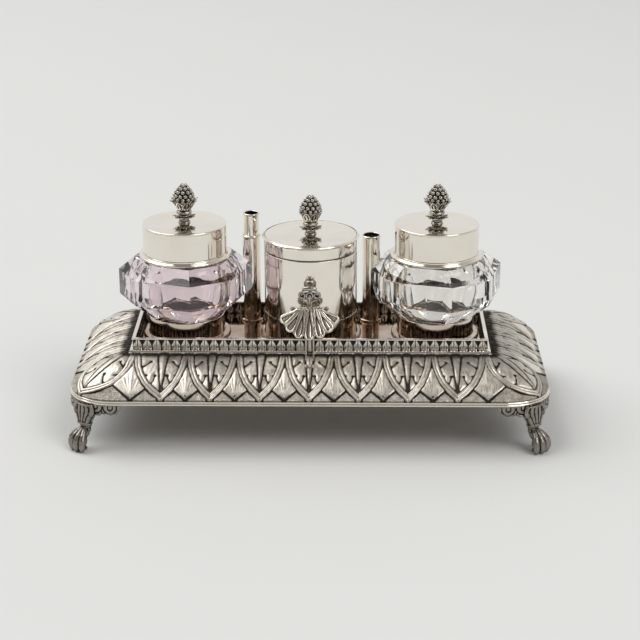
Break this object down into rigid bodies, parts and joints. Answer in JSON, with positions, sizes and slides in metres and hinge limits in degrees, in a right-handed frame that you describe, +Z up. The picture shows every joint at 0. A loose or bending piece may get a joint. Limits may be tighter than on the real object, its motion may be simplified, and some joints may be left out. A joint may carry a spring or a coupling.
{
  "type": "desk inkstand",
  "caption": "Footed silver inkstand: leaf-bordered tray, glass ink bottles with pull-off caps, lidded round box, pen tubes and a shell thumbpiece.",
  "frame": {"origin": "on the table, under the middle of the tray", "axes": "+Z up, +X to the right along the length of the tray, -Y to the front where the shell thumbpiece is"},
  "size_m": [0.273, 0.1436, 0.1371],
  "materials": {
    "polished_silver": "polished silver, softly worn",
    "deck_silver": "flat silver plate, bright with fine scratches",
    "chased_silver": "chased and struck silver, dark in the recesses",
    "gallery_silver": "struck strip silver, dark in the recesses",
    "cast_silver": "cast silver, oxidised in the recesses",
    "clear_glass": "cut and polished clear glass",
    "amethyst_glass": "cut and polished pale amethyst glass"
  },
  "bodies": {
    "stand": {"leaf_border": "chased_silver", "reeded_rim": "polished_silver", "deck_plate": "deck_silver", "gallery_front": "gallery_silver", "gallery_back": "gallery_silver", "gallery_left": "gallery_silver", "gallery_right": "gallery_silver", "gallery_top_wire": "polished_silver", "gallery_foot_moulding": "polished_silver", "socket_left": "polished_silver", "socket_right": "polished_silver", "socket_centre": "polished_silver", "pen_tube_left": "polished_silver", "pen_tube_right": "polished_silver", "pen_tube_ring_left": "polished_silver", "pen_tube_ring_right": "polished_silver", "handle_strap": "cast_silver", "shell_thumbpiece": "cast_silver", "handle_rosette": "cast_silver", "foot_front_left": "cast_silver", "foot_front_right": "cast_silver", "foot_back_left": "cast_silver", "foot_back_right": "cast_silver"},
    "sleeve": {"pen_sleeve": "polished_silver"},
    "bottle_left": {"ink_bottle_left": "amethyst_glass", "neck_mount_left": "polished_silver"},
    "bottle_right": {"ink_bottle_right": "clear_glass", "neck_mount_right": "polished_silver"},
    "cap_left_body": {"cap_left": "polished_silver", "cap_finial_left": "cast_silver", "leaf_collar_left": "cast_silver", "finial_nut_left": "polished_silver"},
    "cap_right_body": {"cap_right": "polished_silver", "cap_finial_right": "cast_silver", "leaf_collar_right": "cast_silver", "finial_nut_right": "polished_silver"},
    "box": {"box_body": "polished_silver", "box_bezel": "polished_silver"},
    "lid": {"box_lid": "polished_silver", "box_lid_wire": "polished_silver", "box_finial": "cast_silver", "leaf_collar_box": "cast_silver", "finial_nut_box": "polished_silver"}
  },
  "joints": [
    {"name": "bottle_left_lift", "type": "slide", "parent": "stand", "child": "bottle_left", "axis": [0, 0, 1], "range_m": [0, 0.016]},
    {"name": "bottle_right_lift", "type": "slide", "parent": "stand", "child": "bottle_right", "axis": [0, 0, 1], "range_m": [0, 0.016]},
    {"name": "cap_left_lift", "type": "slide", "parent": "bottle_left", "child": "cap_left_body", "axis": [0, 0, 1], "range_m": [0, 0.018]},
    {"name": "cap_right_lift", "type": "slide", "parent": "bottle_right", "child": "cap_right_body", "axis": [0, 0, 1], "range_m": [0, 0.018]},
    {"name": "box_lift", "type": "slide", "parent": "stand", "child": "box", "axis": [0, 0, 1], "range_m": [0, 0.018]},
    {"name": "lid_lift", "type": "slide", "parent": "box", "child": "lid", "axis": [0, 0, 1], "range_m": [0, 0.009]},
    {"name": "pen_sleeve_lift", "type": "slide", "parent": "stand", "child": "sleeve", "axis": [0, 0, 1], "range_m": [0, 0.056]}
  ]
}
